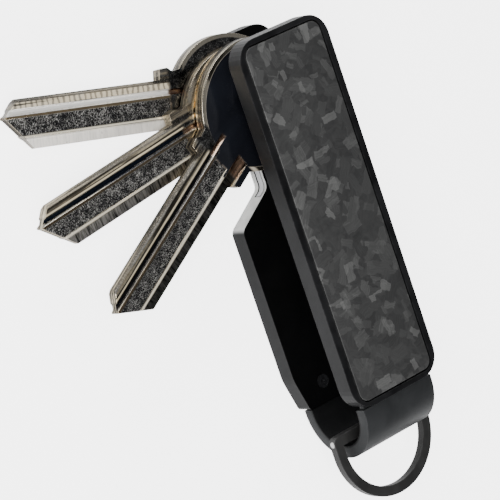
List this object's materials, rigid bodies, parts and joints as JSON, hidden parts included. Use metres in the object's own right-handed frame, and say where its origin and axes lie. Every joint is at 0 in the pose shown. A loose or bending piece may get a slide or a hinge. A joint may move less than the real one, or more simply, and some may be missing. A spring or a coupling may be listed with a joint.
{
  "type": "pocket key organiser",
  "caption": "Two long plates joined by a bent strap hold flat keys that fan out on a pivot; a D-ring hangs in the bend.",
  "frame": {"origin": "centre of the rear plate's outer face, on which the object lies", "axes": "+Z out of the front plate's face; +Y along the plates from the D-ring end towards the key pivot; +X completes the right-handed set, so the keys fan out towards -X"},
  "size_m": [0.0602, 0.0886, 0.0179],
  "materials": {
    "black_anodised": "satin",
    "forged_carbon": "satin",
    "adhesive_film": "matte",
    "nickel_silver": "satin",
    "steel": "satin",
    "black_steel": "satin",
    "black_nylon": "matte"
  },
  "bodies": {
    "case": {"front_plate": "black_anodised", "front_inlay": "forged_carbon", "adhesive_film": "adhesive_film", "rear_plate": "black_anodised", "pivot_insert": "steel", "bow_strap": "black_anodised", "bow_screw_1": "black_steel", "bow_screw_2": "black_steel", "bow_screw_3": "black_steel", "bow_screw_4": "black_steel", "pivot_post": "steel", "pivot_screw": "steel", "key_washer": "steel", "spacer_1": "black_nylon", "spacer_2": "black_nylon"},
    "first_key": {"key_1": "nickel_silver"},
    "second_key": {"key_2": "nickel_silver"},
    "third_key": {"key_3": "nickel_silver"},
    "ring": {"d_ring": "black_steel"}
  },
  "joints": [
    {"name": "key_1_swing", "type": "hinge", "parent": "case", "child": "first_key", "pos_m": [-0.0016, 0.023, 0.0045], "axis": [0, 0, 1], "range_deg": [-256.6, 103.4]},
    {"name": "key_2_swing", "type": "hinge", "parent": "case", "child": "second_key", "pos_m": [-0.0016, 0.023, 0.0068], "axis": [0, 0, 1], "range_deg": [-277.1, 82.9]},
    {"name": "key_3_swing", "type": "hinge", "parent": "case", "child": "third_key", "pos_m": [-0.0016, 0.023, 0.0091], "axis": [0, 0, 1], "range_deg": [-300.6, 59.4]},
    {"name": "ring_swing", "type": "hinge", "parent": "case", "child": "ring", "pos_m": [0, -0.0379, 0.00895], "axis": [1, 0, 0], "range_deg": [-80, 80]}
  ]
}
